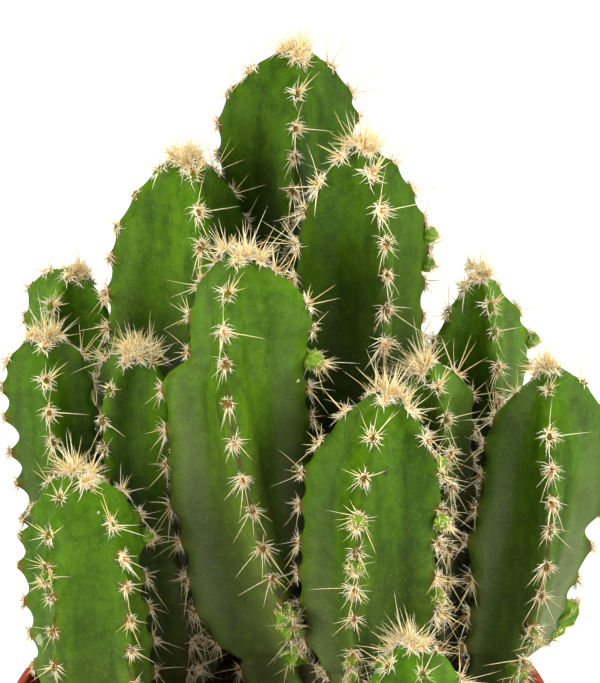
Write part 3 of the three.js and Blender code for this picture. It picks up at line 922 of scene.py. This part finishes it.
tree, take, give = start_tree("Spines", {
    **STEM_MEASURES, "Fewest": "Int", "Most": "Int", "Tuft": "Float", "Tuft Spread": "Float",
    "Tip Areoles": "Int", "Tip Bristles": "Int", "Tip Spines": "Int",
    "Material": "Material"}, {"Spines": "Geometry"})
roots = spread_roots(inner_group(take, areole_places),
                     drawn(tree, take["Fewest"], take["Most"], 61, "INT"),
                     drawn(tree, 0.4, 1.45, 62), 0.8,
                     ramp(named(tree, "left"), 5 * MM, 35 * MM, 0.25, -0.55), (2.6, 9.0), 0.09,
                     drawn(tree, 0.1, 0.9, 60), 63)
tips = tip_areoles(take, take["Tip Areoles"], 1.15)
golden = spread_roots(tips, take["Tip Bristles"], drawn(tree, 0.0, 1.05, 72), 0.8, 0.0,
                      (1.8, 5.8), 0.16, drawn(tree, 0.3, 1.0, 71), 73, fewer_long=2.0)
pale = spread_roots(tips, take["Tip Spines"], drawn(tree, 0.0, 1.0, 76), 0.6, 0.1,
                    (3.4, 9.2), 0.1, drawn(tree, 0.0, 0.4, 75), 77, fewer_long=1.8)
spines = joined(tree, as_bristles(roots, **SPINE), as_bristles(golden, **HAIR),
                as_bristles(pale, **SPINE))
stem_spines = finish_tree(tree, take, give, spines)

white_wool, tree, shader, place = start_material("areole wool")
tint = attribute(tree, "tint")
tone = noise(place, 0.003, 3)
fill(shader, {
    "Base Color": layered(
        (250, 243, 222), (ramp(tint, 0.05, 0.4), (232, 216, 172)),
        (ramp(tint, 0.5, 0.85), (206, 134, 58)), (ramp(tint, 0.9, 1.12), (146, 80, 32)),
        (ramp(tone, 0.5, 0.75) * 0.25, (206, 168, 116))),
    "Roughness": tone * 0.2 + 0.7, "Specular IOR Level": 0.2})

straw, tree, shader, place = start_material("straw spine")
out, tint = attribute(tree, "out"), attribute(tree, "tint")
tone = noise(place, 0.006, 2)
fill(shader, {
    "Base Color": layered(
        layered((228, 202, 136), (tint, (214, 168, 80))),
        (ramp(out, 0.0, 0.35), layered((246, 238, 204), (tint, (234, 204, 120)))),
        (ramp(out, 0.85, 1.0) * tint * 0.7, (146, 98, 56)),
        (ramp(tone, 0.5, 0.72) * 0.3, (190, 146, 88))),
    "Roughness": tone * 0.2 + 0.35, "Specular IOR Level": 0.35})


def grow_whole(name, slot, nodes, measures, tuft, skin, wool, spines):
    """A stem or an offset: its skin, the wool of its areoles and its spines, as three pieces."""
    measures = measures | {"Tuft": tuft[0], "Tuft Spread": tuft[1]}
    finish_piece(growing(name + "_skin", stem_skin, measures | skin), slot, *nodes)
    finish_piece(growing(name + "_wool", areole_wool, {
        **measures, **wool, "Material": white_wool}), "spines")
    finish_piece(growing(name + "_spines", stem_spines, {
        **measures, **spines, "Material": straw}), "spines")


grown_stems = {}
for number, (name, (*shape, habit)) in enumerate(STEMS.items()):
    looks = {look: habit.pop(look, usual) for look, usual in USUAL_LOOKS.items()}
    grown_stems[name] = measures_of(*shape, **habit, seed=number + 1)
    grow_whole(name, "stem_skin", [name], grown_stems[name], looks["tuft"],
               {"Scallop": looks["scallop"] * MM, "Swelling": 0.55 * MM, "Dents": 1.3 * MM,
                "Bloom And Sheen": looks["bloom"], "Shade And Tone": looks["tone"], "Material": green_skin},
               {"Cushion": 0.85 * MM, "Ruff Hairs": 46, "Heart Hairs": 20, "Tip Areoles": 11},
               {"Fewest": 4, "Most": 8, "Tip Areoles": 11, "Tip Bristles": 11, "Tip Spines": 3})

# The pups and buds: young offsets, fresh yellow-green and lobed, that break out of a rib's edge
# just under an areole. The pups are the six larger ones; a bud is no more than its first woolly
# lobes.

# Each has its mother's stem, the rib it is on, its height above the rim, its radius and its length
PUPS = {
    "pup_centre_upper": ("stem_centre", 0, 29, 3.1, 6.2),
    "pup_centre_lower": ("stem_centre", 0, 20, 3.2, 6.5),
    "pup_right_outer": ("stem_right", 1, 24.5, 3.3, 6.5),
    "pup_right_edge": ("stem_right", 1, 21, 2.2, 5),
    "pup_right_upper": ("stem_right", 0, 24, 2.4, 5),
    "pup_right_lower": ("stem_right", 0, 15, 2.8, 6),
}
BUDS = {
    "bud_centre_low": ("stem_centre", 0, 33.5, 3.0, 6.0),
    "bud_front_1": ("stem_front", 0, 62.5, 2.3, 3.4),
    "bud_front_2": ("stem_front", 0, 53, 2.1, 3.2),
    "bud_front_3": ("stem_front", 0, 30, 2.2, 3.4),
    "bud_front_4": ("stem_front", 0, 25, 1.9, 3.2),
    "bud_front_right_1": ("stem_front", 1, 60.5, 2.2, 3.4),
    "bud_front_right_2": ("stem_front", 1, 42.5, 2.0, 3.2),
    "bud_front_right_3": ("stem_front", 2, 65, 2.8, 5.2),
    "bud_left_1": ("stem_left_front", 0, 48.5, 1.8, 2.9),
    "bud_left_2": ("stem_left_front", 2, 48, 2.2, 3.6),
    "bud_centre": ("stem_centre", 1, 89, 2.7, 4.4),
    "bud_upper_1": ("stem_right_upper", 1, 104, 2.3, 4.0),
    "bud_upper_2": ("stem_right_upper", 1, 97, 2.0, 3.4),
    "bud_back": ("stem_right_back", 1, 74.5, 2.3, 4.0),
}
PUP_HABIT = dict(rise=0.8, tuft=0.7, pitch=4.4)
BUD_HABIT = dict(rise=-0.35, tuft=0.5, pitch=2.6)
OWN_HABIT = {"pup_right_outer": dict(rise=1.1), "bud_centre_low": dict(rise=0.3),
             "bud_centre": dict(tuft=0.85)}
YOUNG_RIBS = 5
YOUNG_GROOVE = 0.8
YOUNG_BEDDING = 0.9
YOUNG_ROWS = 22
YOUNG_SEEDS = 40
LINE_STEPS = 400


def young_measures(mother, rib, height, radius, length, rise, pitch, seed):
    """The measures of a young offset, from its place on its mother's rib and its size."""
    stem = grown_stems[mother]
    foot, bend, tip = stem["Foot"], stem["Bend"], stem["Tip"]
    shares = [step / LINE_STEPS for step in range(LINE_STEPS + 1)]
    line = [foot.lerp(bend, t).lerp(bend.lerp(tip, t), t) for t in shares]
    runs = [0.0]
    for here, there in zip(line, line[1:]):
        runs.append(runs[-1] + (there - here).length)
    along = ((height + RIM) * MM - foot.z) / (tip.z - foot.z)
    run = along * runs[-1]
    spot = next(i for i, reached in enumerate(runs) if reached >= run)
    up = (line[spot + 1] - line[spot - 1]).normalized()
    front = (Vector(FRONT) - up * up.dot(FRONT)).normalized()
    from_rib = 2 * math.pi * rib / stem["Ribs"]
    angle = from_rib + stem["Turn"] + stem["Twist"] * along
    outward = front * math.cos(angle) + up.cross(front) * math.sin(angle)
    filled = min(1, max(0, (run - stem["Neck"]) / stem["Swell"]))
    width = FOOT_WIDTH + (1 - FOOT_WIDTH) * math.sqrt(1 - (1 - filled) ** 2)
    above = min(1, max(0, ((height + RIM) * MM - stem["Shoulder"]) / (SHOULDER_LENGTH * MM)))
    above = above * above * (3 - 2 * above)
    width *= 1 - (1 - stem["Shoulder Part"]) * above * (1 - math.sin(from_rib)) / 2
    under_tip = min(1, (runs[-1] - run) / stem["Dome"])
    width *= (1 - (1 - under_tip) ** DOME_TAPER) ** DOME_ROUNDING
    start = (line[spot] + outward * (stem["Radius"] * width)) / MM - outward * YOUNG_BEDDING
    end = start + (outward + up * rise).normalized() * length
    return measures_of(
        start, (start + end) / 2, end, radius, turn=0, swell=length / 2, ribs=YOUNG_RIBS, neck=0,
        pitch=pitch, size=0.5, waves=0.6, seed=seed, rim=0, planted=0) | {
            "Rows": YOUNG_ROWS, "Groove": YOUNG_GROOVE}


pup_skin, tree, shader, place = start_material("pup skin")
marks = put(tree, "ShaderNodeGroup", {"Place": place, "Cloud Size": 0.004}, node_tree=mottling)
clouds, patches, grain = (Reckoned(marks, label) for label in ("Clouds", "Patches", "Grain"))
fill(shader, {
    "Base Color": layered(
        (112, 146, 28), (ramp(clouds, 0.35, 0.65), (58, 102, 8)),
        (ramp(attribute(tree, "crest"), 0.5, 0.95) * 0.5, (144, 166, 54)),
        (ramp(grain, 0.5, 0.75) * 0.4, (196, 206, 104)),
        (ramp(attribute(tree, "away"), 0.8 * MM, 0.3 * MM) * 0.35, (150, 96, 40))),
    "Roughness": patches * 0.14 + 0.36, "Normal": raised((0.5, 0.0002, grain + patches)),
    "Subsurface Weight": 0.1, **FLESH})

for number, (name, place_and_size) in enumerate((PUPS | BUDS).items()):
    habit = (PUP_HABIT if name in PUPS else BUD_HABIT) | OWN_HABIT.get(name, {})
    grow_whole(name, "pup_skin", [name] if name in PUPS else [],
               young_measures(*place_and_size, habit["rise"], habit["pitch"],
                              seed=YOUNG_SEEDS + number), (habit["tuft"], 0.5),
               {"Scallop": 0.25 * MM, "Swelling": 0.2 * MM, "Dents": 0.8 * MM, "Bloom And Sheen": 0.0,
                "Shade And Tone": 1.0, "Material": pup_skin},
               {"Cushion": 0.4 * MM, "Ruff Hairs": 6, "Heart Hairs": 4, "Tip Areoles": 4},
               {"Fewest": 0, "Most": 2, "Tip Areoles": 4, "Tip Bristles": 8, "Tip Spines": 2})

# The floor and the light: a plain pale table that fades into a white backdrop, in a bright studio.
# Only the camera sees the paper as it is; the light that it throws back on the plant is dimmer.
FLOOR_REACH = 9
floor_mesh = bpy.data.meshes.new("floor")
floor_mesh.from_pydata([(FLOOR_REACH * x, FLOOR_REACH * y, 0) for x, y in (
    (-1, -1), (1, -1), (1, 1), (-1, 1))], [], [(0, 1, 2, 3)])
floor = new_object("floor", floor_mesh)
pale_floor, tree, paper, place = start_material("pale floor")
floor_mesh.materials.append(pale_floor)
fill(paper, {"Base Color": (0.9, 0.9, 0.9, 1), "Roughness": 0.8})
backdrop = put(tree, "ShaderNodeMixShader", {
    "Fac": ramp(place.length(), 0.35, 0.9), 1: paper,
    2: put(tree, "ShaderNodeEmission", {"Strength": 1.0})})
rays = put(tree, "ShaderNodeLightPath")
unseen = put(tree, "ShaderNodeMixShader", {
    "Fac": Reckoned(rays, "Is Glossy Ray"),
    1: put(tree, "ShaderNodeBsdfDiffuse", {"Color": (0.35, 0.35, 0.35, 1)}),
    2: put(tree, "ShaderNodeEmission", {"Strength": 0.4})})
fill(tree.nodes["Material Output"], {"Surface": put(tree, "ShaderNodeMixShader", {
    "Fac": Reckoned(rays, "Is Camera Ray"), 1: unseen, 2: backdrop})})

LAMPS = {
    "left softbox": dict(place=(-0.95, -0.5, 0.33), size=(0.45, 0.8), watts=15),
    "right softbox": dict(place=(0.95, -0.45, 0.33), size=(0.45, 0.8), watts=16),
    "front fill": dict(place=(0.0, -1.5, 0.25), size=(1.2, 0.6), watts=7),
    "top softbox": dict(place=(0.0, 0.45, 1.5), size=(1.6, 1.6), watts=40),
}
LAMPS_AIM = (0, 0, 0.16)
for name, lamp in LAMPS.items():
    light = bpy.data.lights.new(name, "AREA")
    light.shape, light.energy = "RECTANGLE", lamp["watts"]
    light.size, light.size_y = lamp["size"]
    holder = new_object(name, light)
    holder.location = lamp["place"]
    aim = Vector(LAMPS_AIM) - holder.location
    holder.rotation_euler = aim.to_track_quat("-Z", "Y").to_euler()
    holder.visible_glossy = holder.visible_camera = False

world = bpy.data.worlds.new("studio")
world.use_nodes = True
rays = put(world.node_tree, "ShaderNodeLightPath")
fill(world.node_tree.nodes["Background"], {
    "Color": (1, 1, 1, 1),
    "Strength": Reckoned(rays, "Is Camera Ray") + Reckoned(rays, "Is Glossy Ray") * 0.05 + 0.1})
bpy.context.scene.world = world
bpy.context.scene.view_settings.view_transform = "Standard"
